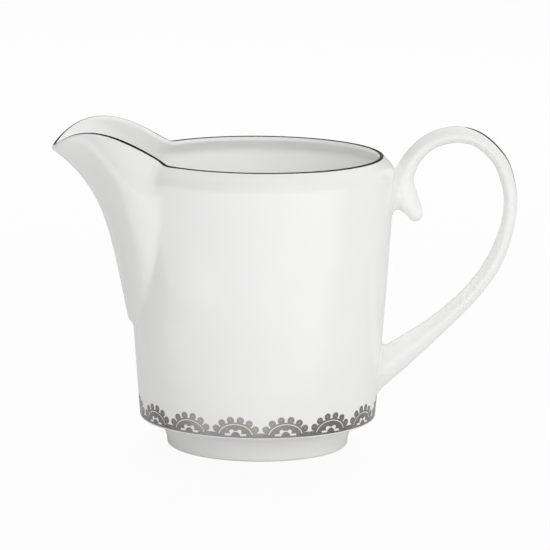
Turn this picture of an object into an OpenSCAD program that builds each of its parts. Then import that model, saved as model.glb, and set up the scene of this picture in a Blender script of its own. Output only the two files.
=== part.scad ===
// Porcelain cream jug: a slip-cast body on a foot ring, with a cast pouring spout,
// a looped handle that ends in a thumb spur, slip fillets at the three joints,
// and fired platinum lines and a scalloped lace border.
// Origin at the centre of the foot, on the surface it stands on. +Z is up, the
// spout points along -X and the handle along +X.

/* [Body] */
// Height of the rim
rim_h = 88; // [84:0.5:92]
// Radius of the rim's outer edge
rim_r = 37; // [36:0.5:38]
// Radius of the wall below the shoulder, where it is widest
wall_r = 40.4; // [40:0.1:41]
// Radius of the wall at the top of its lower corner
base_r = 35.4; // [34.5:0.1:36]
// Height of the top of the lower corner
base_z = 9.1; // [9:0.1:9.6]
// How far the wall bellies out beyond a straight taper
belly = 0.3; // [0:0.1:0.6]
// Thickness of the wall
wall_t = 2.2; // [1.8:0.1:2.6]
// Thickness of the floor
floor_t = 3; // [2:0.25:4]
// Radius of the shoulder's curve
shoulder_r = 5; // [4:0.5:6]
// Radius of the rounded edge of the rim
lip_r = 0.9; // [0.8:0.05:1]

/* [Foot ring] */
// Height of the foot ring
foot_h = 8.2; // [7:0.1:8.2]
// Outer radius of the foot ring where it joins the body
foot_top_r = 30; // [29:0.1:31]
// Outer radius of the foot ring just above its rounded edge
foot_low_r = 27.2; // [26.5:0.1:28]
// Inner radius of the foot ring
foot_in_r = 24.4; // [23:0.2:25]
// Radius of the ring's rounded standing edge
foot_edge = 0.8; // [0.5:0.1:1]

/* [Spout] */
// Distance of the spout's tip from the jug's axis
spout_reach = 62; // [60:0.5:64]
// Half the width of the spout's lip
spout_half_w = 22.5; // [21:0.5:23.5]
// Height at which the spout grows out of the wall
spout_foot_z = 35.5; // [33:0.5:38]
// Distance of the spout's foot from the jug's axis
spout_foot_x = 39.2; // [39:0.1:40]
// Radius of the soft valley between the spout and the wall
valley = 7; // [4:0.5:9]

/* [Handle] */
// Half the width of the handle, across the jug, at its top
handle_half_w = 3.2; // [2.6:0.1:3.8]
// How much thicker or thinner the handle is than drawn
handle_girth = 1; // [0.85:0.05:1.15]

/* [Platinum] */
// Thickness of the fired platinum lines and lace
metal_t = 0.1; // [0.08:0.01:0.2]
// Number of scalloped motifs round the lace border
motifs = 15; // [12:1:18]
// Turn of the lace border about the jug
lace_turn = -76.2; // [-88:0.2:-64]
// Height of a lace motif
lace_h = 6; // [5:0.25:6.4]

/* [Hidden] */
porcelain = [0.93, 0.93, 0.92];
slip = [0.9, 0.9, 0.89];
platinum = [0.62, 0.6, 0.58];

spout_axis_x = 32;             // the lip's ellipse is centred here, on the spout's side
lip_corner_x = 27.5;           // here the rim starts to rise along the spout
lip_rise = [22.4, -9.9, -11.2];// slope, bend and dip of the lip from there to the tip
lip_run = spout_reach - lip_corner_x;
spout_turns = 36;              // sides of the spout's sections
spout_rows = 11;               // sections of the spout
seam_cols = 40;                // columns of the valley's slip
seam_arc = 56;                 // the valley's slip lies within this angle of the spout
handle_sides = 14;
handle_steps = 3;              // rings between two stations of the handle
base_line_h = 0.45;            // the lace's solid line along the lower corner
lobes = 6;

lip_x = rim_r - 0.7 * lip_r;   // centre of the rim's rounded edge
lip_z = rim_h - lip_r;
shoulder_x = wall_r - shoulder_r;
shoulder_z = lip_x + lip_z + (lip_r - shoulder_r) * sqrt(2) - shoulder_x;
corner_r = 0.6;                // radius of the lower corner
floor_fillet = 5;              // radius between the wall and the floor, inside

// Handle stations from the spur's tip, over the loop and down to the lower root:
// distance from the axis, height, half thickness and half width
handle_path = [
    [46.4, 69.9, 1.9, 0.65], [45.4, 72.1, 2.9, 0.85], [43.3, 75.8, 4, 1], [42.6, 79.6, 3.6, 1.05],
    [43.5, 83.2, 2.95, 1.05], [45.6, 87.2, 2.6, 1], [48.4, 90.4, 2.5, 1], [52.6, 93.1, 2.45, 1],
    [58.5, 94.4, 2.5, 1], [64.5, 93.2, 2.3, 0.98], [69.4, 89.5, 2.2, 0.95], [72.9, 84.3, 2.15, 0.92],
    [75, 75.2, 2, 0.9], [73.9, 65.6, 2.1, 0.9], [70.1, 55.4, 2.45, 0.94], [63.4, 46, 2.55, 0.98],
    [53.6, 36.5, 3.05, 1.05], [42.6, 27.6, 4.4, 1.2], [36, 22.6, 5.1, 1.3], [33, 20.3, 5.6, 1.35]
];
line_stations = [7.8, 12];     // the platinum line runs between these stations

MOTIF_NODES = [for (i = [1:motifs]) str("lace_motif_", i < 10 ? "0" : "", i)];

// ---- shared curves ----

function arc(x, z, r, from, to, steps) =
    [for (i = [0:steps]) let (a = from + (to - from) * i / steps) [x + r * cos(a), z + r * sin(a)]];

// The wall's outer radius at height z, between the lower corner and the shoulder
function wall_at(z) =
    let (u = (z - base_z) / (shoulder_z - base_z))
    base_r + (wall_r - base_r) * u + 4 * belly * u * (1 - u);

// The body's outer radius at any height
function body_at(z) =
    z <= shoulder_z ? wall_at(max(z, base_z))
    : let (a = asin(min(1, (z - shoulder_z) / shoulder_r)))
      a <= 45 ? shoulder_x + shoulder_r * cos(a)
      : max(rim_r, shoulder_x + shoulder_r * sqrt(2) + shoulder_z - z);

// Two radii joined by a soft valley
function soft_max(a, b, k) = let (h = max(k - abs(a - b), 0) / k) max(a, b) + h * h * k / 4;

// Height of the lip over the point x, measured towards the spout
function lip_at(x) =
    let (s = max(0, min(1, (x - lip_corner_x) / lip_run)))
    rim_h + lip_rise[0] * s + lip_rise[1] * s ^ 2 + lip_rise[2] * s ^ 4;

// The spout's front edge, from 0 at its foot to 1 at its tip
function front_at(v) =
    spout_foot_x + (spout_reach - spout_foot_x) * (0.47 * v + 0.53 * v ^ 5.2);

// The spout's half width, which opens fast from its foot and then runs nearly straight up
function half_w_at(v) =
    let (u = max(0, 1 - v / 0.87))
    spout_half_w * sqrt(max(0.004, 1 - u ^ 2.4));

// The wall is cut slantwise near the tip, so it is thicker along X there
function inset_at(v) = wall_t * (1 + 0.5 * v ^ 5);

// ---- solids that several pieces share ----

// The body's outline from the middle of its underside up to the lip
function outer_profile() = concat(
    [[0, foot_h], [foot_top_r + 1, foot_h]],
    arc(base_r - corner_r, base_z, corner_r, -90, 0, 4),
    [for (i = [0:6]) let (z = wall_level(i)) [wall_at(z), z]],
    arc(shoulder_x, shoulder_z, shoulder_r, 7.5, 45, 5)
);

module body_core() {
    rotate_extrude($fn = 120)
        polygon(concat(outer_profile(), arc(lip_x, lip_z, lip_r, 45, 90, 3), [[0, rim_h]]));
}

// The wall's levels: the first stretch is straight, and carries the lace
function wall_level(i) =
    i == 0 ? base_z : lace_top() + (shoulder_z - lace_top()) * (i - 1) / 5;
function lace_top() = base_z + base_line_h + lace_h + 0.35;

// A loft of ellipses from the spout's foot to its lip, drawn in by the wall's
// thickness when hollow
module spout_form(hollow) {
    n = spout_turns;
    rows = spout_rows;
    over = hollow ? 6 : 0;
    // A row past the last one carries the hollow straight up through the lip
    points = [
        for (j = [0:rows + (hollow ? 1 : 0)], i = [0:n - 1])
            let (v = min(1, j / rows),
                 inset = hollow ? inset_at(v) : 0,
                 t = 360 * i / n,
                 top = lip_at(spout_axis_x + (spout_reach - spout_axis_x) * cos(t)),
                 x = spout_axis_x + max(0.6, front_at(v) - spout_axis_x - inset) * cos(t),
                 y = max(0.5, half_w_at(v) - inset) * sin(t),
                 z = spout_foot_z + (top - spout_foot_z) * v + (j > rows ? over : 0))
            [-x, y, z]
    ];
    last = rows + (hollow ? 1 : 0);
    sides = [for (j = [0:last - 1], i = [0:n - 1])
        let (a = j * n + i, b = j * n + (i + 1) % n) each [[a, b, b + n], [a, b + n, a + n]]];
    caps = [for (i = [0:n / 2 - 1])
        let (k = (n - i) % n, m = n - 1 - i, top = last * n)
        each concat(
            i == 0 ? [[0, m, 1], [top, top + 1, top + m]] : [],
            i > 0 && i < n / 2 - 1 ? [[i, k, m], [i, m, i + 1],
                [top + i, top + m, top + k], [top + i, top + i + 1, top + m]] : [],
            i == n / 2 - 1 ? [[i, k, i + 1], [top + i, top + i + 1, top + k]] : []
        )];
    polyhedron(points, concat(sides, caps), convexity = 4);
}

// A ring of points round the handle at station s
function station(s) =
    let (n = len(handle_path),
         i = min(floor(s), n - 2), f = s - i,
         a = handle_path[max(0, i - 1)], b = handle_path[i],
         c = handle_path[i + 1], d = handle_path[min(n - 1, i + 2)])
    0.5 * (2 * b + (c - a) * f + (2 * a - 5 * b + 4 * c - d) * f ^ 2 + (3 * b - a - 3 * c + d) * f ^ 3);

function handle_ring(s, grow) =
    let (p = station(s),
         q = station(min(s + 0.05, len(handle_path) - 1)), o = station(max(s - 0.05, 0)),
         along = atan2(q[1] - o[1], q[0] - o[0]),
         thick = p[2] * handle_girth + grow, wide = p[3] * handle_half_w * handle_girth + grow)
    [for (i = [0:handle_sides - 1]) let (a = 360 * i / handle_sides)
        [p[0] - thick * cos(a) * sin(along), wide * sin(a), p[1] + thick * cos(a) * cos(along)]];

module tube(rings) {
    n = len(rings[0]);
    last = len(rings) - 1;
    sides = [for (j = [0:last - 1], i = [0:n - 1])
        let (a = j * n + i, b = j * n + (i + 1) % n) each [[a, b, b + n], [a, b + n, a + n]]];
    ends = [[for (i = [n - 1:-1:0]) i], [for (i = [0:n - 1]) last * n + i]];
    polyhedron([for (r = rings) each r], concat(sides, ends), convexity = 6);
}

module handle_form() {
    last = len(handle_path) - 1;
    tip = station(0);
    // A last small ring closes the spur's rounded tip
    spur = [for (p = handle_ring(0, 0)) [tip[0] + 0.35, 0, tip[1] - 1.1] + 0.45 * (p - [tip[0], 0, tip[1]])];
    tube(concat([spur], [for (s = [0:1 / handle_steps:last + 0.01]) handle_ring(min(s, last), 0)]));
}

// ---- porcelain ----

module vessel() {
    color(porcelain) difference() {
        rotate_extrude($fn = 120)
            polygon(concat(
                outer_profile(),
                arc(lip_x, lip_z, lip_r, 45, 225, 8),
                arc(shoulder_x, shoulder_z, shoulder_r - wall_t, 45, 7.5, 3),
                [for (i = [6:-1:2]) let (z = wall_level(i)) [wall_at(z) - wall_t, z]],
                arc(wall_at(base_z) - wall_t - floor_fillet, foot_h + floor_t + floor_fillet,
                    floor_fillet, 0, -90, 5),
                [[0, foot_h + floor_t]]
            ));
        spout_form(true);
    }
}

module foot_ring() {
    color(porcelain) rotate_extrude($fn = 120)
        polygon(concat(
            [[foot_in_r, foot_h]],
            arc(foot_in_r + foot_edge, foot_edge, foot_edge, 180, 270, 4),
            arc(foot_low_r - foot_edge, foot_edge, foot_edge, 270, 360, 4),
            [for (i = [1:5]) let (u = i / 5)
                [foot_low_r + (foot_top_r - foot_low_r) * u ^ 1.6, foot_edge + (foot_h - foot_edge) * u]]
        ));
}

module spout() {
    color(porcelain) difference() {
        spout_form(false);
        spout_form(true);
        body_core();
    }
}

module handle() {
    color(porcelain) difference() {
        handle_form();
        body_core();
    }
}

// ---- slip fillets at the joints ----

module spout_seam() {
    color(slip) difference() {
        seam_form();
        spout_form(false);
        spout_form(true);
        body_core();
    }
}

// The spout's outside and the wall's joined by the soft valley, over the spout's side
// of the jug. It is drawn just under the true surface where it lies on the wall.
module seam_form() {
    n = seam_cols;
    rows = spout_rows;
    under = 0.3;
    back = 34;
    slip_reach = 46;
    outer = [for (j = [0:rows], i = [0:n])
        let (t = seam_arc * (2 * i / n - 1), p = seam_point(t, j / rows), r = min(p[0] - under, slip_reach))
        [-r * cos(t), r * sin(t), p[1]]];
    inner = [for (j = [0:rows], i = [0:n])
        let (t = seam_arc * (2 * i / n - 1), p = seam_point(t, j / rows))
        [-back * cos(t), back * sin(t), p[1]]];
    m = n + 1;
    total = m * (rows + 1);
    skin = [for (j = [0:rows - 1], i = [0:n - 1])
        let (a = j * m + i)
        each [[a, a + 1, a + m], [a + 1, a + m + 1, a + m],
            [total + a, total + a + m, total + a + 1], [total + a + 1, total + a + m, total + a + m + 1]]];
    rims = [for (i = [0:n - 1])
        let (top = rows * m)
        each [[i, total + i + 1, i + 1], [i, total + i, total + i + 1],
            [top + i, top + i + 1, total + top + i + 1], [top + i, total + top + i + 1, total + top + i]]];
    edges = [for (j = [0:rows - 1])
        let (a = j * m, b = j * m + n)
        each [[a, total + a + m, total + a], [a, a + m, total + a + m],
            [b, total + b, total + b + m], [b, total + b + m, b + m]]];
    polyhedron(concat(outer, inner), concat(skin, rims, edges), convexity = 6);
}

// Radius and height of the smooth outside at angle t from the spout, a fraction v up it
function seam_point(t, v) =
    let (lip = lip_at(polar_ellipse(t, 1) * cos(t)),
         z = spout_foot_z - 1 + (min(lip, rim_h) - spout_foot_z + 1) * v)
    [soft_max(body_at(z), polar_ellipse(t, max(0, (z - spout_foot_z) / (lip - spout_foot_z))), valley), z];

// Distance from the jug's axis to the spout's ellipse at fraction v, at angle t
function polar_ellipse(t, v) =
    let (a = front_at(v) - spout_axis_x, b = half_w_at(v),
         p = (cos(t) / a) ^ 2 + (sin(t) / b) ^ 2, q = spout_axis_x * cos(t) / a ^ 2,
         d = max(0, q ^ 2 - p * ((spout_axis_x / a) ^ 2 - 1)))
    (q + sqrt(d)) / p;

// A collar of slip round a handle root that stands on the wall at height z
module root_collar(z, half_h, half_w, drop) {
    wall = wall_at(z);
    hull() {
        translate([wall - 2, 0, z]) rotate([0, 90, 0])
            resize([2 * half_h + 2.4, 2 * half_w + 2.2, 0.1]) cylinder(h = 0.1, r = 5, $fn = 32);
        translate([wall + 1.3, 0, z + drop]) rotate([0, 90, 0])
            resize([2 * half_h, 2 * half_w, 0.1]) cylinder(h = 0.1, r = 5, $fn = 32);
    }
}

module handle_upper_seam() {
    color(slip) difference() {
        root_collar(77, 6.8, handle_half_w * 1.05, 0);
        handle_form();
        body_core();
    }
}

module handle_lower_seam() {
    color(slip) difference() {
        root_collar(23.4, 7.6, handle_half_w * 1.4, 0.6);
        handle_form();
        body_core();
    }
}

// ---- fired platinum ----

module rim_line() {
    span = 2 * atan2(spout_half_w, spout_axis_x - 3);
    color(platinum) rotate([0, 0, 180 + span / 2])
        rotate_extrude(angle = 360 - span, $fn = 120)
            polygon(concat(
                arc(lip_x, lip_z, lip_r + metal_t, 45, 150, 7),
                arc(lip_x, lip_z, lip_r, 150, 45, 7)
            ));
}

module spout_line() {
    n = 40;
    side = 93;
    width = 1.1;
    color(platinum) difference() {
        tube([for (i = [0:n])
            let (t = side * (1 - 2 * i / n),
                 a = spout_reach - spout_axis_x, b = spout_half_w,
                 out = [spout_axis_x + (a + metal_t) * cos(t), (b + metal_t) * sin(t)],
                 in = [spout_axis_x + (a - width) * cos(t), (b - width) * sin(t)],
                 z = lip_at(spout_axis_x + a * cos(t)))
            [[-out[0], out[1], z - 0.5], [-out[0], out[1], z + metal_t],
                [-in[0], in[1], z + metal_t], [-in[0], in[1], z - 0.3]]]);
        spout_form(false);
        body_core();
    }
}

module handle_line() {
    from = line_stations[0];
    to = line_stations[1];
    steps = 14;
    // The three topmost points of each ring, on the outside of the loop
    spine = [handle_sides - 1, 0, 1];
    color(platinum) tube([for (i = [0:steps])
        let (s = from + (to - from) * i / steps, low = handle_ring(s, 0), high = handle_ring(s, metal_t))
        concat([for (k = spine) high[k]], [for (k = [2:-1:0]) low[spine[k]]])]);
}

module lace_shell(low, high) {
    function line_at(z) = base_r + (wall_at(lace_top()) - base_r) * (z - base_z) / (lace_top() - base_z);
    rotate_extrude($fn = 120)
        polygon([[line_at(low), low], [line_at(low) + metal_t, low],
            [line_at(high) + metal_t, high], [line_at(high), high]]);
}

module lace_base_line() {
    color(platinum) lace_shell(base_z, base_z + base_line_h);
}

function ellipse(a, b, from, to, steps) =
    [for (i = [0:steps]) let (t = from + (to - from) * i / steps) [a * cos(t), b * sin(t)]];

// One scalloped fan, drawn flat: lobes round an arched band, a thin arc left bare inside
// it, and a crown-shaped opening over a solid half disc
module motif_outline() {
    half = 180 * base_r / motifs * PI / 180 - 0.03;
    lobe_a = 6.5;
    lobe_b = 0.82 * lace_h;
    lobe_r = 1.05;
    arc_a = 5.2;
    arc_b = 0.62 * lace_h;
    difference() {
        union() {
            polygon(ellipse(5.9, 0.7 * lace_h, 0, 180, 24));
            polygon([[-half, 0], [half, 0], [half, 1], [-half, 1]]);
            for (k = [1:lobes])
                let (t = 180 * k / (lobes + 1))
                translate([lobe_a * cos(t), lobe_b * sin(t)]) circle(r = lobe_r, $fn = 24);
        }
        polygon(concat(ellipse(arc_a, arc_b, 8, 172, 24), ellipse(arc_a - 0.28, arc_b - 0.28, 172, 8, 24)));
        crown_opening();
        translate([-10, -1]) square([20, 1]);
    }
}

module crown_opening() {
    hub_r = 1.35;
    difference() {
        union() {
            for (side = [-1, 1]) {
                translate([side * 1.15, 1.35]) circle(r = 0.7, $fn = 24);
                translate([side * 2.3 - 0.9, 0.12]) square([1.8, 0.62]);
            }
            circle(r = hub_r + 0.35, $fn = 32);
        }
        circle(r = hub_r, $fn = 32);
        translate([-5, -5]) square([10, 5.12]);
    }
}

module lace_motif(i) {
    low = base_z + base_line_h;
    color(platinum) intersection() {
        rotate([0, 0, lace_turn + 360 * i / motifs])
            translate([0, 0, low])
                rotate([90, 0, 90])
                    linear_extrude(height = wall_r + 2) motif_outline();
        lace_shell(low, lace_top());
    }
}

vessel();
foot_ring();
spout();
handle();
spout_seam();
handle_upper_seam();
handle_lower_seam();
rim_line();
spout_line();
handle_line();
lace_base_line();
for (i = [0:motifs - 1])
    lace_motif(i);
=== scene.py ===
import math

import bpy
import numpy as np
from mathutils import Matrix, Vector
from mathutils.bvhtree import BVHTree
from mathutils.geometry import delaunay_2d_cdt


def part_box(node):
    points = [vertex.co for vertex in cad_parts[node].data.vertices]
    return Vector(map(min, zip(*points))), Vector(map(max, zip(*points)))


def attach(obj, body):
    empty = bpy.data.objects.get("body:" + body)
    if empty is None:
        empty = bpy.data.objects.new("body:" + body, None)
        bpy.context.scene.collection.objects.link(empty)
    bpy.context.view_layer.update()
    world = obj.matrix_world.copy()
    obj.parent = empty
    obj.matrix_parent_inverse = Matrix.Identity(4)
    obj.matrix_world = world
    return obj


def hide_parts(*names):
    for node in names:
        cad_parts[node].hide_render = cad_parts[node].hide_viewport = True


# A porcelain cream jug with fired platinum lines and a scalloped lace border.
#
# The vessel, the spout and the slip between them are one smooth sheet of china, drawn
# once, thickened, rounded at its lip and then cut into those three closed pieces. The foot
# ring, the handle and the slip round the handle's roots are drawn on their own. The
# platinum lies on the glaze as thin closed skins. Shapes are drawn in millimetres, in the
# frame's own axes: the spout points along -X, the handle along +X, and Z is up.

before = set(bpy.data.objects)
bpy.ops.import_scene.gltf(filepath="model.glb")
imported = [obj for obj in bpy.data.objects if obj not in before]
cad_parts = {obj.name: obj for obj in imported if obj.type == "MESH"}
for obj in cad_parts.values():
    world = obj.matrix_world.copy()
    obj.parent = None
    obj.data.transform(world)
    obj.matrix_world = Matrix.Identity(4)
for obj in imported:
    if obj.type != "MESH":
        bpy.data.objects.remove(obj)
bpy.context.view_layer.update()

MM = 0.001
BODY = "root"

# ---- sizes, in millimetres ----

rim_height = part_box("vessel")[1].z / MM
widest_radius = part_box("vessel")[1].x / MM
spout_reach = -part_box("spout")[0].x / MM
foot_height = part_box("foot_ring")[1].z / MM

rim_radius = 37.0
base_radius = 35.4
corner_top = 9.1
corner_radius = 0.6
belly = 0.3
wall_thickness = 2.2
lip_thickness = 1.8
lip_taper = 8.0
floor_thickness = 3.0
floor_fillet = 6.0
shoulder_radius = 5.0

# The lip is a round edge on a wall that leans in at 45 degrees
lip_x = rim_radius - 0.35 * lip_thickness
lip_z = rim_height - lip_thickness / 2
shoulder_x = widest_radius - shoulder_radius
shoulder_z = lip_x + lip_z + (lip_thickness / 2 - shoulder_radius) * math.sqrt(2) - shoulder_x
shoulder_top = lip_z + lip_thickness / 2 * math.sqrt(0.5)

# The spout: its width at the lip and lower down, its foot, the middle of its oval section, the
# step at its heel (from and to these heights), and how softly it meets the body: at its foot,
# half way up and at the lip
spout_half_width = 22.5
spout_widest = 28.0
spout_foot = 35.5
spout_foot_x = 38.6
spout_axis_x = 32.0
lip_roll = 0.36
heel = (35.4, 38.6)
valley_low, valley_middle, valley_lip = 4.0, 7.0, 1.6

# The spout's lip leaves the level rim at lip_corner_x and rises along a curve of the fourth
# degree, with its corner rounded a little
lip_corner_x = 27.5
lip_rise, lip_bend, lip_dip = 22.4, -9.9, -11.2
lip_corner_softness = 0.03

handle_half_width = 3.2
# Distance from the axis, height, half thickness and half width, from the spur's tip,
# over the loop and down into the wall at the lower root
handle_path = np.array([
    (46.7, 70.2, 2.2, 0.7), (45.6, 72.3, 3.0, 0.85), (43.3, 75.8, 4.0, 1.0), (42.6, 79.6, 3.6, 1.05),
    (43.5, 83.2, 2.95, 1.05), (45.6, 87.2, 2.6, 1.0), (48.4, 90.4, 2.5, 1.0), (52.6, 93.1, 2.45, 1.0),
    (58.5, 94.4, 2.5, 1.0), (64.5, 93.2, 2.3, 0.98), (69.4, 89.5, 2.2, 0.95), (72.9, 84.3, 2.15, 0.92),
    (75.0, 75.2, 2.0, 0.9), (73.9, 65.6, 2.1, 0.9), (70.1, 55.4, 2.45, 0.94), (63.4, 46.0, 2.55, 0.98),
    (53.6, 36.5, 3.05, 1.05), (42.6, 27.6, 4.4, 1.2), (36.0, 22.6, 5.1, 1.3), (33.0, 20.3, 5.6, 1.35),
    (29.5, 17.6, 6.1, 1.4),
])

# The lace: how many fans, where the first one stands, its height over the base line, and the
# height of that line
lace_motifs = 15
lace_turn = math.radians(-76.2)
lace_height = 6.0
lace_base_line = 0.45

# Angles round the jug from the spout's middle, in degrees: the spout and the slip beside it
# are cut from the sheet of china here, and the two platinum lines on the lip meet here
spout_cut, slip_cut = 30, 52.5
line_meeting = 37.5

# The platinum on the lip starts outside and stops inside at these angles over the level, in
# degrees. The brush pressed wider near the spout's corners and near the handle, each given as
# (angle round the jug, spread, how much lower the platinum starts).
line_start = 52
line_stop_on_spout, line_stop_on_rim = 100, 126
brush_presses = ((35, 9, 32), (140, 22, 19.2))

# How far a platinum skin stands over the glaze and reaches into it
skin_proud = 0.04
skin_sunk = 0.02


# ---- the shape of the china ----

def smooth_step(x):
    x = np.clip(x, 0, 1)
    return x * x * (3 - 2 * x)


def soft_max(a, b, k):
    """The larger of two values, with their meeting rounded over a width of k."""
    h = np.maximum(k - np.abs(a - b), 0) / k
    return np.maximum(a, b) + h * h * k / 4


def unit(vectors):
    return vectors / np.linalg.norm(vectors, axis=-1, keepdims=True)


def wall_at(z):
    """The wall's outer radius between the lower corner and the shoulder."""
    u = (z - corner_top) / (shoulder_z - corner_top)
    return base_radius + (widest_radius - base_radius) * u + 4 * belly * u * (1 - u)


def body_at(z, lift=0.0):
    """The round body's outer radius at any height above the corner. Under a raised lip, the
    shoulder rises too, by lift."""
    z = z - lift * smooth_step((z - shoulder_z + 12) / 12)
    turn = np.arcsin(np.clip((z - shoulder_z) / shoulder_radius, 0, math.sqrt(0.5)))
    slope = shoulder_x + shoulder_z + shoulder_radius * math.sqrt(2) - z
    above = z > shoulder_z + shoulder_radius * math.sqrt(0.5)
    curved = np.where(above, np.maximum(slope, rim_radius), shoulder_x + shoulder_radius * np.cos(turn))
    return np.where(z <= shoulder_z, wall_at(np.maximum(z, corner_top)), curved)


def lip_at(x):
    """Height of the lip over a point x millimetres towards the spout."""
    s = np.clip((x - lip_corner_x) / (spout_reach - lip_corner_x), -1, 1)
    s = soft_max(s, 0 * s, lip_corner_softness)
    return rim_height + lip_rise * s + lip_bend * s ** 2 + lip_dip * s ** 4


def front_at(v):
    """The spout's front edge, from 0 at its foot to 1 at its tip."""
    reach = spout_reach - lip_roll - spout_foot_x
    return spout_foot_x + reach * (0.47 * v + 0.53 * v ** 5.2)


def half_width_at(v):
    """The spout's half width, which opens fast from its foot and draws in under its lip."""
    opened = np.sqrt(np.maximum(0.04, 1 - (1 - v) ** 2.2))
    under_lip = np.maximum(0, (v - 0.82) / 0.18)
    return spout_widest * opened - (spout_widest - spout_half_width) * under_lip ** 2


def spout_radius(turn, v):
    """Distance from the jug's axis to the spout's oval section, at an angle from its middle."""
    a = front_at(v) - spout_axis_x
    b = half_width_at(v)
    p = (np.cos(turn) / a) ** 2 + (np.sin(turn) / b) ** 2
    q = spout_axis_x * np.cos(turn) / a ** 2
    d = np.maximum(0, q ** 2 - p * ((spout_axis_x / a) ** 2 - 1))
    return np.where(np.cos(turn) > 0, (q + np.sqrt(d)) / p, 0)


# ---- meshes ----

def add_object(name, points, faces, sharp_above=None, normals=None):
    """A smooth mesh object, from points in millimetres."""
    mesh = bpy.data.meshes.new(name)
    mesh.from_pydata((np.asarray(points) * MM).tolist(), [], faces)
    mesh.shade_smooth()
    if sharp_above is not None:
        mesh.set_sharp_from_angle(angle=math.radians(sharp_above))
    if normals is not None:
        mesh.normals_split_custom_set_from_vertices(np.asarray(normals).tolist())
    piece = bpy.data.objects.new(name, mesh)
    bpy.context.scene.collection.objects.link(piece)
    return piece


def strip(low, high, i, j):
    """One face between two rings of points, which faces out when the rings turn clockwise seen
    from above."""
    return (low + j, low + i, high + i, high + j)


def skin_piece(name, grid, normals, closed=False):
    """A thin closed skin that lies on a surface, given as rows of points and their normals."""
    levels, count = grid.shape[:2]
    points = np.concatenate([(grid + normals * skin_proud).reshape(-1, 3),
                             (grid - normals * skin_sunk).reshape(-1, 3)])
    under = levels * count
    cells = [(i, (i + 1) % count) for i in range(count if closed else count - 1)]
    faces = []
    for r in range(levels - 1):
        for i, j in cells:
            top = strip(r * count, (r + 1) * count, i, j)
            faces += [top, tuple(under + k for k in reversed(top))]
    last = (levels - 1) * count
    for i, j in cells:
        faces += [(i, j, under + j, under + i), (last + j, last + i, under + last + i, under + last + j)]
    if not closed:
        for r in range(levels - 1):
            a, b = r * count, (r + 1) * count
            faces += [(b, a, under + a, under + b),
                      (a + count - 1, b + count - 1, under + b + count - 1, under + a + count - 1)]
    return add_object(name, points, faces, sharp_above=50)


# ---- the sheet of china, cut into vessel, spout and slip ----

columns = 288
spout_column = columns // 2
turns = np.linspace(-math.pi, math.pi, columns, endpoint=False)
lip_steps = 12

# Heights of the lower rows, closer together at the spout's foot, then how far each row above
# them has risen towards the lip, closer together near it
low_levels = np.concatenate([np.linspace(corner_top, 16, 5), np.linspace(19, 32, 5),
                             np.linspace(34, 38, 13)])
rise = np.concatenate([np.linspace(0, 0.8, 36)[1:], np.linspace(0.8, 1, 24)[1:]])
rows = len(low_levels) + len(rise)

# The rows at which the inside reaches the floor's round, the slip starts and the spout starts
floor_row = 4
seam_row = 10
spout_row = len(low_levels) - 1


def outer_sheet(edge):
    """The outside of the wall and spout, up to the height at which the lip's round begins."""
    low = np.repeat(low_levels[:, None], columns, 1)
    high = low_levels[-1] + (edge - low_levels[-1]) * rise[:, None]
    z = np.concatenate([low, high])
    up = np.clip((z - spout_foot) / (edge - spout_foot), 0, 1)
    body = body_at(z, np.maximum(edge - shoulder_top, 0))
    k = valley_low + (valley_middle - valley_low) * smooth_step(up / 0.35)
    k = k - (valley_middle - valley_lip) * smooth_step((up - 0.65) / 0.35)
    grown = smooth_step((z - heel[0]) / (heel[1] - heel[0]))
    # The valley's round would push the spout's front out, so the spout is drawn in by as much
    front = body + grown * np.maximum(front_at(up) - body, 0)
    gap = np.minimum(front - body, k)
    drawn_in = front_at(up) - front + gap - 2 * np.sqrt(k * gap) + k
    radius = soft_max(body, spout_radius(turns, up) - drawn_in, k)
    return np.stack([-radius * np.cos(turns), radius * np.sin(turns), z], -1)


def sheet_normals(points):
    across = np.roll(points, -1, 1) - np.roll(points, 1, 1)
    return unit(np.cross(np.gradient(points, axis=0), across))


def ring(radius, z):
    return np.stack([-radius * np.cos(turns), radius * np.sin(turns), np.full(columns, z)], -1)


def draw_sheet():
    """Rings of the china's whole section, from the underside's middle, up the outside, over
    the lip and down the inside to the floor's middle, with the lip's own frame."""
    edge = np.full(columns, rim_height - 0.3)
    for _ in range(12):
        outer = outer_sheet(edge)
        normals = sheet_normals(outer)
        middle = outer[-1] - normals[-1] * lip_thickness / 2
        edge = edge + lip_at(-middle[:, 0]) - middle[:, 2] - lip_thickness / 2
    near_lip = smooth_step(1 + (outer[..., 2] - edge) / lip_taper)
    thickness = wall_thickness - (wall_thickness - lip_thickness) * near_lip
    inner = outer - normals * thickness[..., None]
    along = np.roll(middle, -1, 0) - np.roll(middle, 1, 0)
    upward = unit(np.cross(along, normals[-1]))
    swing = np.linspace(0, math.pi, lip_steps + 1)[1:-1]
    lip = [middle + (math.cos(t) * normals[-1] + math.sin(t) * upward) * lip_thickness / 2
           for t in swing]

    bend = np.radians(np.linspace(-90, 0, 7)[:-1])
    underside = [ring(r, z) for r, z in ((8, foot_height), (20, foot_height), (28, foot_height),
                                         (31.5, foot_height + 0.1))]
    underside += [ring(base_radius - corner_radius * (1 - math.cos(t)),
                       corner_top + corner_radius * math.sin(t)) for t in bend]
    inner_radius = -inner[floor_row, spout_column, 0]
    bottom = foot_height + floor_thickness
    floor = [ring(inner_radius - floor_fillet * (1 - math.cos(t)), bottom + floor_fillet * (1 + math.sin(t)))
             for t in np.radians(np.linspace(-10, -90, 9))]
    floor += [ring(r, bottom) for r in (22, 14, 6)]
    rings = underside + list(outer) + lip + list(inner[:floor_row - 1:-1]) + floor
    return rings, len(underside), (middle, normals[-1], upward)


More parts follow.
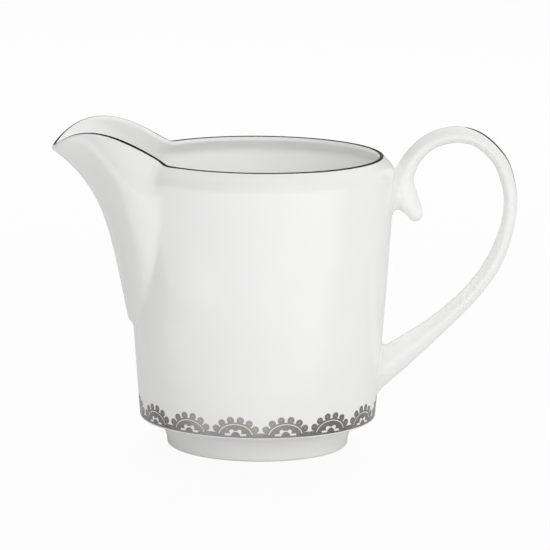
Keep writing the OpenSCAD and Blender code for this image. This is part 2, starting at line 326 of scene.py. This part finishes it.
def china_pieces():
    rings, first, lip_frame = draw_sheet()
    points = np.concatenate(rings + [[(0, 0, foot_height)], [(0, 0, foot_height + floor_thickness)]])
    low_pole, high_pole = len(points) - 2, len(points) - 1
    inner_top = first + rows + lip_steps - 1

    # Which piece each cell of the sheet belongs to
    middle_turn = np.abs(np.degrees(turns) + 180 / columns)
    owner = np.full((rows - 1, columns), "vessel", dtype=object)
    owner[seam_row:, middle_turn < slip_cut] = "spout_seam"
    owner[spout_row:, middle_turn < spout_cut] = "spout"

    def outside(j, i):
        return (first + j) * columns + i % columns

    def inside(j, i):
        return (inner_top + rows - 1 - j) * columns + i % columns

    def lip_round(i):
        """The lip's points at column i, from the outside to the inside."""
        return [(first + rows - 1 + k) * columns + i % columns for k in range(lip_steps + 1)]

    faces = {"vessel": [], "spout": [], "spout_seam": []}
    for a in range(len(rings) - 1):
        outer_row = a - first
        inner_row = inner_top + rows - 2 - a
        for i in range(columns):
            if 0 <= outer_row < rows - 1:
                name = owner[outer_row, i]
            elif rows - 1 <= outer_row < rows - 1 + lip_steps:
                name = owner[-1, i]
            elif floor_row <= inner_row < rows - 1:
                name = owner[inner_row, i]
            else:
                name = "vessel"
            faces[name].append(strip(a * columns, (a + 1) * columns, i, (i + 1) % columns))
    last = (len(rings) - 1) * columns
    for i in range(columns):
        j = (i + 1) % columns
        faces["vessel"] += [(low_pole, i, j), (last + j, last + i, high_pole)]

    whole = add_object("whole", points, [f for part in faces.values() for f in part])
    smooth = np.zeros(len(points) * 3, np.float32)
    whole.data.vertex_normals.foreach_get("vector", smooth)
    smooth = smooth.reshape(-1, 3)
    bpy.data.objects.remove(whole)

    # Walls that close the pieces where the sheet is cut
    for j in range(floor_row, rows - 1):
        for i in range(columns):
            name = owner[j, i]
            if owner[j - 1, i] != name and j > floor_row:
                low = (outside(j, i), outside(j, i + 1), inside(j, i + 1), inside(j, i))
                faces[name].append(low)
                faces[owner[j - 1, i]].append(low[::-1])
            if owner[j, i - 1] != name:
                side = (outside(j + 1, i), outside(j, i), inside(j, i), inside(j + 1, i))
                faces[name].append(side)
                faces[owner[j, i - 1]].append(side[::-1])
    for i in range(columns):
        if owner[-1, i] != owner[-1, i - 1]:
            end = tuple(lip_round(i))
            faces[owner[-1, i]].append(end[::-1])
            faces[owner[-1, i - 1]].append(end)

    pieces = []
    for name, part in faces.items():
        used = sorted({k for f in part for k in f})
        place = {k: n for n, k in enumerate(used)}
        part = [tuple(place[k] for k in f) for f in part]
        pieces.append(add_object(name + "_china", points[used], part, normals=smooth[used]))
        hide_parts(name)

    return pieces, lip_frame


def lip_line_pieces(middle, outward, upward):
    """The platinum on the crest of the lip, round the rim and along the spout."""
    aside = np.abs(np.degrees(turns))
    start = line_start - sum(low * np.exp(-((aside - at) / wide) ** 2) for at, wide, low in brush_presses)
    on_rim = smooth_step((aside - spout_cut) / 15)
    stop = line_stop_on_spout + (line_stop_on_rim - line_stop_on_spout) * on_rim
    lean = np.arcsin(outward[:, 2])
    crest = [np.clip(np.radians(start + (stop - start) * f) - lean, 0, None)[:, None]
             for f in np.linspace(0, 1, 10)]
    normals = np.stack([np.cos(t) * outward + np.sin(t) * upward for t in crest])
    grid = middle + normals * lip_thickness / 2
    end = int(line_meeting / 360 * columns)
    over_spout = np.arange(spout_column - end, spout_column + end + 1)
    round_rim = np.arange(spout_column + end, spout_column - end + columns + 1) % columns
    pieces = []
    for name, part in (("rim_line", round_rim), ("spout_line", over_spout)):
        pieces.append(skin_piece(name + "_skin", grid[:, part], normals[:, part]))
        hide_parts(name)
    return pieces


china, lip_frame = china_pieces()
platinum = lip_line_pieces(*lip_frame)


# ---- foot ring ----

def foot_ring_piece():
    """A low ring that flares into the underside, with a bare rounded standing edge."""
    inner, low, top = 24.4, 27.2, 29.4
    edge = 0.8
    buried = foot_height + 0.2
    blend = 0.8
    profile = [(inner - blend, buried), (inner - blend, foot_height)]
    profile += [(inner - blend * (1 - math.cos(t)), foot_height - blend * math.sin(t))
                for t in np.radians((30, 60, 90))]
    profile += [(inner, 3.5)]
    profile += [(inner + edge + edge * math.cos(t), edge + edge * math.sin(t))
                for t in np.radians(np.linspace(180, 270, 7))]
    profile += [(low - edge + edge * math.cos(t), edge + edge * math.sin(t))
                for t in np.radians(np.linspace(270, 360, 7))]
    side = foot_height - blend - edge
    profile += [(low + (top - low) * u ** 1.6, edge + side * u) for u in np.linspace(0, 1, 9)[1:]]
    profile += [(top + blend * (1 - math.cos(t)), foot_height - blend + blend * math.sin(t))
                for t in np.radians((30, 60, 85))]
    profile += [(top + blend, buried)]
    points = np.concatenate([ring(r, z) for r, z in profile])
    count = len(profile)
    faces = [strip(k * columns, (k + 1) % count * columns, i, (i + 1) % columns)
             for k in range(count) for i in range(columns)]
    piece = add_object("foot_ring_china", points, faces, sharp_above=60)
    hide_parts("foot_ring")
    return piece


foot_ring = foot_ring_piece()


# ---- handle ----

handle_sides = 72
# The handle's outline enters the wall between these two stations
wall_stations = (16, 20)
spur_tip_length = 2.1


def station(s):
    """The handle's path at a fractional station: distance, height, half thickness, half width."""
    i = np.clip(np.floor(s).astype(int), 0, len(handle_path) - 2)
    f = (s - i)[..., None]
    last = len(handle_path) - 1
    a, b = handle_path[np.maximum(i - 1, 0)], handle_path[i]
    c, d = handle_path[i + 1], handle_path[np.minimum(i + 2, last)]
    return 0.5 * (2 * b + (c - a) * f + (2 * a - 5 * b + 4 * c - d) * f ** 2
                  + (3 * b - a - 3 * c + d) * f ** 3)


def handle_surface(s, angle, proud=0.0):
    """Points of the handle at station s and at an angle round it, 0 on the outside of the loop."""
    middle = station(s)
    ahead = station(np.minimum(s + 0.05, len(handle_path) - 1)) - station(np.maximum(s - 0.05, 0))
    along = np.arctan2(ahead[..., 1], ahead[..., 0])
    thick = (middle[..., 2] + proud) * np.cos(angle)
    wide = (middle[..., 3] * handle_half_width + proud) * np.sin(angle)
    x = middle[..., 0] - thick * np.sin(along)
    z = middle[..., 1] + thick * np.cos(along)
    return np.stack([x, wide, z], -1)


def handle_piece():
    angles = np.linspace(0, 2 * math.pi, handle_sides, endpoint=False)
    # Where each line along the handle reaches half way into the wall
    near, far = [np.full(handle_sides, float(s)) for s in wall_stations]
    for _ in range(30):
        between = (near + far) / 2
        p = handle_surface(between, angles)
        outside = np.hypot(p[:, 0], p[:, 1]) > wall_at(p[:, 2]) - wall_thickness / 2
        near, far = np.where(outside, between, near), np.where(outside, far, between)
    start = wall_stations[0]
    rings = [handle_surface(np.full(handle_sides, s), angles) for s in np.linspace(0, start, 161)]
    rings += [handle_surface(start + (near - start) * f, angles) for f in np.linspace(0, 1, 31)[1:]]

    # The spur ends in a rounded tip
    tip, behind = rings[0].mean(0), rings[2].mean(0)
    point_out = unit(tip - behind) * spur_tip_length
    cap = [tip + point_out * math.sin(t) + (rings[0] - tip) * math.cos(t)
           for t in np.radians((88, 80, 70, 58, 45, 30, 15))]
    rings = cap + rings
    faces = []
    for k in range(len(rings) - 1):
        for i in range(handle_sides):
            j = (i + 1) % handle_sides
            a, b = k * handle_sides, (k + 1) * handle_sides
            faces.append((a + i, b + i, b + j, a + j))
    last = (len(rings) - 1) * handle_sides
    faces += [tuple(range(handle_sides)), tuple(range(last + handle_sides - 1, last - 1, -1))]
    piece = add_object("handle_china", np.concatenate(rings), faces, sharp_above=60)
    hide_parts("handle")
    return piece


handle = handle_piece()
handle_sides_only = [tuple(p.vertices) for p in handle.data.polygons if len(p.vertices) == 4]
handle_tree = BVHTree.FromPolygons([v.co / MM for v in handle.data.vertices], handle_sides_only)


def on_wall(y, z, proud):
    """The point that stands proud of the wall's outside, beside the handle."""
    radius = float(body_at(np.array(z))) + proud
    return np.array((math.sqrt(radius ** 2 - y ** 2), y, z))


def in_handle(point):
    nearest, normal, _, _ = handle_tree.find_nearest(Vector(point))
    return (Vector(point) - nearest).dot(normal) < 0


def slip_piece(name, node, centre, high, wide, full):
    """A soft fillet of slip all round the place where the handle stands on the wall. Towards
    each direction, it climbs the handle by high and spreads over the wall by wide, and its
    hollow is filled by the share full, each given as (upward, sideways, downward). Its edges
    stand a hair clear of both surfaces, and its back is buried in them."""
    count, steps = 144, 10
    buried = 0.5
    clear = 0.012
    search_reach, search_step = 13.0, 0.25
    turn = np.linspace(0, 2 * math.pi, count, endpoint=False)
    up, down = smooth_step(np.sin(turn) * 2 - 0.6), smooth_step(-np.sin(turn) * 2 - 0.6)

    def amount(sizes):
        return sizes[1] + (sizes[0] - sizes[1]) * up + (sizes[2] - sizes[1]) * down

    def reach(k, proud):
        """How far from the root's centre the handle's side is, at a height over the wall."""
        def at(distance):
            return on_wall(distance * math.cos(turn[k]), centre + distance * math.sin(turn[k]), proud)
        out = search_reach
        while out > 2 * search_step and not in_handle(at(out)):
            out -= search_step
        low, top = out, out + search_step
        for _ in range(10):
            mid = (low + top) / 2
            low, top = (mid, top) if in_handle(at(mid)) else (low, mid)
        return low

    def evened(values):
        return (np.roll(values, 1) + 2 * values + np.roll(values, -1)) / 4

    climb, spread, filled = amount(high), amount(wide), amount(full)
    foot = evened(evened(np.array([reach(k, 0.0) for k in range(count)])))
    upper = evened(evened(np.array([reach(k, climb[k]) for k in range(count)])))

    def place(k, distance, proud):
        return on_wall(distance * math.cos(turn[k]), centre + distance * math.sin(turn[k]), proud)

    loops = []
    for k in range(count):
        a, x = place(k, upper[k] + clear, climb[k]), place(k, foot[k], 0.0)
        b = place(k, foot[k] + spread[k], clear)
        x = x + filled[k] * ((a + b) / 2 - x)
        curve = [(1 - f) ** 2 * a + 2 * f * (1 - f) * x + f * f * b for f in np.linspace(0, 1, steps + 1)]
        hidden = [place(k, foot[k] + spread[k] * 0.8, -buried), place(k, foot[k] - buried, -buried),
                  place(k, upper[k] - 0.6, climb[k] * 0.8)]
        loops.append(curve + hidden)
    ring_size = len(loops[0])
    faces = [(k * ring_size + i, (k + 1) % count * ring_size + i,
              (k + 1) % count * ring_size + (i + 1) % ring_size, k * ring_size + (i + 1) % ring_size)
             for k in range(count) for i in range(ring_size)]
    piece = add_object(name, np.concatenate(loops), [f[::-1] for f in faces], sharp_above=50)
    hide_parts(node)
    return piece


slip = [
    slip_piece("handle_upper_slip", "handle_upper_seam", 78.2,
               high=(1.1, 3.0, 2.2), wide=(1.3, 5.0, 3.8), full=(0.15, 0, 0.55)),
    slip_piece("handle_lower_slip", "handle_lower_seam", 24.0,
               high=(2.2, 2.8, 1.0), wide=(2.4, 4.5, 0.9), full=(0.15, 0, 0.1)),
]


# The brush stroke's two ends, as stations of the handle's path
stroke_stations = (8.35, 12.1)


def handle_line_piece():
    """A brush stroke of platinum on the loop's outside, fine at both ends."""
    u = np.linspace(0, 1, 61)
    stations = stroke_stations[0] + (stroke_stations[1] - stroke_stations[0]) * u
    half_turn = np.radians(4 + 24 * np.sin(math.pi * u ** 0.8) ** 0.8)
    across = np.linspace(1, -1, 13)
    grid = np.stack([handle_surface(stations, half_turn * a) for a in across], 0)
    lifted = np.stack([handle_surface(stations, half_turn * a, proud=0.5) for a in across], 0)
    piece = skin_piece("handle_line_skin", grid, unit(lifted - grid))
    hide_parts("handle_line")
    return piece


platinum.append(handle_line_piece())


# ---- lace border ----

# Sizes of one flat fan of the lace, about the middle of its foot: six lobes round an oval
# band with a bare arc, and a bare scroll with two bumps and two tails round a small hub
lobe_count = 6
lobe_radius = 1.05
lobe_hole = 0.14
hub_radius = 1.35
hub_gap = 0.35
bump_radius = 0.7
tail = (1.4, 3.2, 0.12, 0.74)
half_motif = math.pi * base_radius / lace_motifs - 0.03
lobe_centres = [(6.5 * math.cos(t), 0.82 * lace_height * math.sin(t))
                for t in (math.pi * k / (lobe_count + 1) for k in range(1, lobe_count + 1))]
bump_centres = [(-1.15, 1.35), (1.15, 1.35)]
band_oval = (5.9, 0.7 * lace_height)
bare_outer = (5.2, 0.62 * lace_height)
bare_width = 0.28
bare_inner = (bare_outer[0] - bare_width, bare_outer[1] - bare_width)
bare_ends = math.radians(8)
web_height = 1.0


def oval(a, b, start, stop, steps):
    return [(a * math.cos(t), b * math.sin(t)) for t in np.linspace(start, stop, steps)]


def circle(centre, radius, steps):
    return [(centre[0] + x, centre[1] + y) for x, y in oval(radius, radius, 0, 2 * math.pi, steps + 1)[:-1]]


def in_oval(x, y, a, b):
    return (x / a) ** 2 + (y / b) ** 2 < 1


def in_lace(x, y):
    """Whether a point of the flat motif is platinum."""
    def near(centre, radius):
        return math.hypot(x - centre[0], y - centre[1]) < radius

    if y < 0 or abs(x) > half_motif or any(near(c, lobe_hole) for c in lobe_centres):
        return False
    angle = math.atan2(y / bare_outer[1], x / bare_outer[0])
    bare_arc = in_oval(x, y, *bare_outer) and not in_oval(x, y, *bare_inner)
    if bare_arc and bare_ends < angle < math.pi - bare_ends:
        return False
    crown = near((0, 0), hub_radius + hub_gap) or any(near(c, bump_radius) for c in bump_centres)
    crown = crown and y > tail[2]
    tails = tail[0] < abs(x) < tail[1] and tail[2] < y < tail[3]
    if (crown or tails) and not near((0, 0), hub_radius):
        return False
    return in_oval(x, y, *band_oval) or y < web_height or any(near(c, lobe_radius) for c in lobe_centres)


def flat_motif():
    """Corners and triangles of one fan of the lace, drawn flat."""
    outlines = [
        (oval(*band_oval, 0, math.pi, 49), True),
        ([(-half_motif, 0), (half_motif, 0), (half_motif, web_height), (-half_motif, web_height)], True),
        (oval(*bare_outer, bare_ends, math.pi - bare_ends, 41)
         + oval(*bare_inner, math.pi - bare_ends, bare_ends, 41), True),
        (circle((0, 0), hub_radius, 40), True),
        (circle((0, 0), hub_radius + hub_gap, 40), True),
        ([(-tail[1], tail[2]), (tail[1], tail[2])], False),
    ]
    outlines += [(circle(c, bump_radius, 24), True) for c in bump_centres]
    outlines += [(circle(c, lobe_radius, 32), True) for c in lobe_centres]
    outlines += [(circle(c, lobe_hole, 12), True) for c in lobe_centres]
    for side in (-1, 1):
        x0, x1 = side * tail[0], side * tail[1]
        outlines.append(([(x0, tail[2]), (x1, tail[2]), (x1, tail[3]), (x0, tail[3])], True))
    corners, edges = [], []
    for outline, closed in outlines:
        start, count = len(corners), len(outline)
        corners += [Vector(p) for p in outline]
        edges += [(start + k, start + (k + 1) % count) for k in range(count if closed else count - 1)]
    corners += [Vector((x, y)) for x in np.arange(-7, 7.5, 0.9) for y in np.arange(0.45, 6.5, 0.9)]
    points, _, triangles, *_ = delaunay_2d_cdt(corners, edges, [], 0, 1e-5)
    kept = []
    for tri in triangles:
        middle = (points[tri[0]] + points[tri[1]] + points[tri[2]]) / 3
        if in_lace(middle.x, middle.y):
            kept.append(tuple(tri))
    used = sorted({k for f in kept for k in f})
    place = {k: n for n, k in enumerate(used)}
    return np.array([points[k][:] for k in used]), [tuple(place[k] for k in f) for f in kept]


def lace_pieces():
    flat, triangles = flat_motif()
    count = len(flat)
    directed = {(f[k], f[(k + 1) % 3]) for f in triangles for k in range(3)}
    border = [(a, b) for a, b in directed if (b, a) not in directed]
    faces = triangles + [tuple(count + k for k in reversed(f)) for f in triangles]
    faces += [(b, a, count + a, count + b) for a, b in sorted(border)]
    z = corner_top + lace_base_line + flat[:, 1]
    pieces = []
    for k in range(lace_motifs):
        turn = lace_turn + 2 * math.pi * k / lace_motifs + flat[:, 0] / base_radius

        def layer(proud):
            radius = wall_at(z) + proud
            return np.stack([radius * np.cos(turn), radius * np.sin(turn), z], -1)

        points = np.concatenate([layer(skin_proud), layer(-skin_sunk)])
        piece = add_object(f"lace_fan_{k + 1:02d}", points, faces, sharp_above=50)
        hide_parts(f"lace_motif_{k + 1:02d}")
        pieces.append(piece)
    grid = np.stack([ring(float(wall_at(h)), h) for h in (corner_top, corner_top + lace_base_line)])
    outward = unit(grid * (1, 1, 0))
    base = skin_piece("lace_base_line_skin", grid, outward, closed=True)
    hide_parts("lace_base_line")
    return pieces + [base]


platinum += lace_pieces()


# ---- finishes ----

def add_node(tree, kind, values=None, **settings):
    node = tree.nodes.new(kind)
    for key, value in settings.items():
        setattr(node, key, value)
    for key, value in (values or {}).items():
        if isinstance(value, bpy.types.NodeSocket):
            tree.links.new(value, node.inputs[key])
        else:
            node.inputs[key].default_value = value
    return node


def new_effect(name, inputs, outputs):
    """A shader node group that gives values which change over the surface."""
    tree = bpy.data.node_groups.new(name, "ShaderNodeTree")
    tree.interface.new_socket("Place", in_out="INPUT", socket_type="NodeSocketVector")
    for label, value in inputs.items():
        socket = tree.interface.new_socket(label, in_out="INPUT", socket_type="NodeSocketFloat")
        socket.default_value = value
    for label in outputs:
        tree.interface.new_socket(label, in_out="OUTPUT", socket_type="NodeSocketFloat")
    return tree, tree.nodes.new("NodeGroupInput").outputs, tree.nodes.new("NodeGroupOutput").inputs


def glaze_flow():
    """How a fired glaze settles: a slow waver, and the fine dimples of its skin."""
    tree, given, out = new_effect("glaze_flow", {"Waver": 45.0, "Dimples": 900.0}, ("Tone", "Height"))
    slow = add_node(tree, "ShaderNodeTexNoise",
                    {"Vector": given["Place"], "Scale": given["Waver"], "Detail": 2.0})
    fine = add_node(tree, "ShaderNodeTexNoise",
                    {"Vector": given["Place"], "Scale": given["Dimples"], "Detail": 1.0})
    small = add_node(tree, "ShaderNodeMath", {0: fine.outputs["Fac"], 1: 0.03}, operation="MULTIPLY")
    both = add_node(tree, "ShaderNodeMath", {0: slow.outputs["Fac"], 1: small.outputs[0]}, operation="ADD")
    tree.links.new(slow.outputs["Fac"], out["Tone"])
    tree.links.new(both.outputs[0], out["Height"])
    return tree


def fine_grain():
    """A fine even grain: the tooth of bare biscuit, or the dust of fired metal."""
    tree, given, out = new_effect("fine_grain", {"Scale": 3000.0}, ("Grain",))
    noise = add_node(tree, "ShaderNodeTexNoise",
                     {"Vector": given["Place"], "Scale": given["Scale"], "Detail": 3.0, "Roughness": 0.6})
    tree.links.new(noise.outputs["Fac"], out["Grain"])
    return tree


flow_effect, grain_effect = glaze_flow(), fine_grain()


def new_material(name):
    material = bpy.data.materials.new(name)
    material.use_nodes = True
    tree = material.node_tree
    shader = tree.nodes["Principled BSDF"]
    place = add_node(tree, "ShaderNodeTexCoord").outputs["Object"]
    return material, tree, shader, place


def spread(tree, value, low, high, start=0.35, stop=0.65):
    """A value that changes over the surface, stretched to run from low to high."""
    return add_node(tree, "ShaderNodeMapRange", {"Value": value, "From Min": start, "From Max": stop,
                                                 "To Min": low, "To Max": high}).outputs["Result"]


def blend_colours(tree, factor, first, second):
    mix = add_node(tree, "ShaderNodeMix", data_type="RGBA")
    tree.links.new(factor, mix.inputs[0])
    for socket, colour in ((mix.inputs[6], first), (mix.inputs[7], second)):
        if isinstance(colour, bpy.types.NodeSocket):
            tree.links.new(colour, socket)
        else:
            socket.default_value = (*colour, 1)
    return mix.outputs[2]


def china_material(name, bright, dim, dimples):
    """Clear-glazed white china."""
    material, tree, shader, place = new_material(name)
    flow = add_node(tree, "ShaderNodeGroup", node_tree=flow_effect)
    tree.links.new(place, flow.inputs["Place"])
    flow.inputs["Dimples"].default_value = dimples
    tone = flow.outputs["Tone"]
    tree.links.new(blend_colours(tree, spread(tree, tone, 0, 1), bright, dim), shader.inputs["Base Color"])
    tree.links.new(spread(tree, tone, 0.07, 0.12), shader.inputs["Roughness"])
    bump = add_node(tree, "ShaderNodeBump", {"Height": flow.outputs["Height"], "Strength": 0.5,
                                             "Distance": 0.08 * MM})
    tree.links.new(bump.outputs["Normal"], shader.inputs["Normal"])
    shader.inputs["IOR"].default_value = 1.5
    return material, tree, shader, place


white_bright = (0.93, 0.93, 0.925)


def foot_material():
    """Glazed china whose standing edge is left as bare, smoothed biscuit."""
    material, tree, shader, place = china_material("footed_china", white_bright, (0.915, 0.913, 0.905), 850)
    grain = add_node(tree, "ShaderNodeGroup", node_tree=grain_effect)
    tree.links.new(place, grain.inputs["Place"])
    height = add_node(tree, "ShaderNodeSeparateXYZ", {"Vector": place}).outputs["Z"]
    wobble = spread(tree, grain.outputs["Grain"], -0.12 * MM, 0.12 * MM)
    level = add_node(tree, "ShaderNodeMath", {0: height, 1: wobble}, operation="ADD").outputs[0]
    bare = spread(tree, level, 1, 0, 0.3 * MM, 0.45 * MM)
    glazed_colour = shader.inputs["Base Color"].links[0].from_socket
    glazed_roughness = shader.inputs["Roughness"].links[0].from_socket
    biscuit = blend_colours(tree, grain.outputs["Grain"], (0.84, 0.82, 0.78), (0.74, 0.72, 0.68))
    tree.links.new(blend_colours(tree, bare, glazed_colour, biscuit), shader.inputs["Base Color"])
    rough = add_node(tree, "ShaderNodeMix", {0: bare, 2: glazed_roughness, 3: 0.7})
    tree.links.new(rough.outputs[0], shader.inputs["Roughness"])
    return material


def platinum_material():
    """Fired bright platinum, a little clouded, over the glaze's own waver."""
    material, tree, shader, place = new_material("fired_platinum")
    flow = add_node(tree, "ShaderNodeGroup", node_tree=flow_effect)
    grain = add_node(tree, "ShaderNodeGroup", node_tree=grain_effect)
    for effect in (flow, grain):
        tree.links.new(place, effect.inputs["Place"])
    flow.inputs["Waver"].default_value = 120
    cloud = spread(tree, flow.outputs["Tone"], 0, 1)
    metal = blend_colours(tree, cloud, (0.31, 0.3, 0.285), (0.25, 0.24, 0.23))
    tree.links.new(metal, shader.inputs["Base Color"])
    tree.links.new(spread(tree, grain.outputs["Grain"], 0.2, 0.34), shader.inputs["Roughness"])
    bump = add_node(tree, "ShaderNodeBump", {"Height": grain.outputs["Grain"], "Strength": 0.3,
                                             "Distance": 0.01 * MM})
    tree.links.new(bump.outputs["Normal"], shader.inputs["Normal"])
    shader.inputs["Metallic"].default_value = 1
    return material


glazed_china = china_material("glazed_china", white_bright, (0.917, 0.915, 0.907), 900)[0]
glazed_slip = china_material("glazed_slip", (0.928, 0.928, 0.922), (0.912, 0.91, 0.9), 700)[0]
footed_china = foot_material()
fired_platinum = platinum_material()

finishes = [(piece, glazed_china, "porcelain") for piece in china + [handle]]
finishes += [(piece, glazed_slip, "porcelain") for piece in slip]
finishes += [(foot_ring, footed_china, "porcelain")]
finishes += [(piece, fired_platinum, "platinum") for piece in platinum]
for piece, material, slot in finishes:
    piece.data.materials.append(material)
    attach(piece, BODY)


# ---- studio, in metres ----

floor_size = 8.0
light_target = Vector((0, 0, rim_height / 2 * MM))

def studio_floor():
    """A pale floor that stays nearly white, with only a faint contact shadow. Polished metal
    mirrors it as brighter in front of the object than at its sides."""
    half = floor_size / 2
    mesh = bpy.data.meshes.new("floor")
    corners = [(-half, -half, 0), (half, -half, 0), (half, half, 0), (-half, half, 0)]
    mesh.from_pydata(corners, [], [(0, 1, 2, 3)])
    floor = bpy.data.objects.new("floor", mesh)
    bpy.context.scene.collection.objects.link(floor)
    material = bpy.data.materials.new("pale_floor")
    material.use_nodes = True
    tree = material.node_tree
    tree.nodes.remove(tree.nodes["Principled BSDF"])
    path = add_node(tree, "ShaderNodeLightPath").outputs
    matt = add_node(tree, "ShaderNodeBsdfDiffuse", {"Color": (0.6, 0.6, 0.6, 1)})
    place = add_node(tree, "ShaderNodeTexCoord").outputs["Object"]
    forward = add_node(tree, "ShaderNodeVectorMath", {0: place, 1: (-0.2, -0.98, 0)},
                       operation="DOT_PRODUCT")
    mirrored = spread(tree, forward.outputs["Value"], 0, 1.05, 0.03, 0.08)
    glow = add_node(tree, "ShaderNodeMix", {0: path["Is Glossy Ray"], 2: 0.17, 3: mirrored}).outputs[0]
    table_glow = add_node(tree, "ShaderNodeEmission", {"Color": (1, 1, 1, 1), "Strength": glow})
    table = add_node(tree, "ShaderNodeAddShader", {0: matt.outputs[0], 1: table_glow.outputs[0]})
    faint = add_node(tree, "ShaderNodeBsdfDiffuse", {"Color": (0.05, 0.05, 0.05, 1)})
    white = add_node(tree, "ShaderNodeEmission", {"Color": (1, 1, 1, 1), "Strength": 0.927})
    lit = add_node(tree, "ShaderNodeAddShader", {0: faint.outputs[0], 1: white.outputs[0]})
    both = add_node(tree, "ShaderNodeMixShader",
                    {0: path["Is Camera Ray"], 1: table.outputs[0], 2: lit.outputs[0]})
    tree.links.new(both.outputs[0], tree.nodes["Material Output"].inputs["Surface"])
    mesh.materials.append(material)


def studio_world():
    """Even white behind the object, soft light all round that is stronger from the handle's
    side, and a dark ceiling for polished metal to mirror."""
    world = bpy.data.worlds.new("studio")
    bpy.context.scene.world = world
    world.use_nodes = True
    tree = world.node_tree
    back = tree.nodes["Background"]
    direction = add_node(tree, "ShaderNodeTexCoord").outputs["Generated"]
    parts = add_node(tree, "ShaderNodeSeparateXYZ", {"Vector": direction}).outputs
    light = spread(tree, parts["X"], 0.39, 0.76, 0, 0.5)
    mirrored = spread(tree, parts["Z"], 0.42, 0.02, 0, 0.3)
    path = add_node(tree, "ShaderNodeLightPath").outputs
    around = add_node(tree, "ShaderNodeMix", {0: path["Is Glossy Ray"], 2: light, 3: mirrored}).outputs[0]
    strength = add_node(tree, "ShaderNodeMix", {0: path["Is Camera Ray"], 2: around, 3: 0.985}).outputs[0]
    tree.links.new(strength, back.inputs["Strength"])
    back.inputs["Color"].default_value = (1, 1, 1, 1)


def softbox(name, azimuth, elevation, distance, size, radiance):
    """A square soft light that faces the object but is not mirrored in it. Azimuth 0 is the
    front and 90 is the handle's side."""
    a, e = math.radians(azimuth), math.radians(elevation)
    away = Vector((math.sin(a) * math.cos(e), -math.cos(a) * math.cos(e), math.sin(e)))
    data = bpy.data.lights.new(name, "AREA")
    data.shape = "SQUARE"
    data.size = size
    data.energy = radiance * math.pi * size ** 2
    light = bpy.data.objects.new(name, data)
    facing = away.to_track_quat("Z", "Y").to_matrix().to_4x4()
    light.matrix_world = Matrix.Translation(light_target + away * distance) @ facing
    light.visible_glossy = False
    bpy.context.scene.collection.objects.link(light)


def studio_camera():
    elevation, distance, roll = math.radians(10.49), 1.2, math.radians(0.55)
    aim = Vector((4.87 * MM, 0, 51.3 * MM))
    away = Vector((0, -math.cos(elevation), math.sin(elevation)))
    data = bpy.data.cameras.new("camera")
    data.lens = 261.8
    data.sensor_width = 36
    data.clip_start = 0.05
    camera = bpy.data.objects.new("camera", data)
    look = away.to_track_quat("Z", "Y").to_matrix().to_4x4()
    camera.matrix_world = Matrix.Translation(aim + away * distance) @ look @ Matrix.Rotation(roll, 4, "Z")
    bpy.context.scene.collection.objects.link(camera)
    bpy.context.scene.camera = camera


studio_floor()
studio_world()
softbox("front", -5, 32, 1.2, 0.9, 1.05)
softbox("front_low", 5, 17, 1.6, 0.75, 1.2)
softbox("right", 50, 30, 1.2, 0.9, 0.65)
softbox("back_right", 155, 43, 1.2, 0.9, 1.5)
softbox("back_left", -155, 43, 1.2, 0.9, 2.3)
studio_camera()
bpy.context.scene.view_settings.view_transform = "Standard"
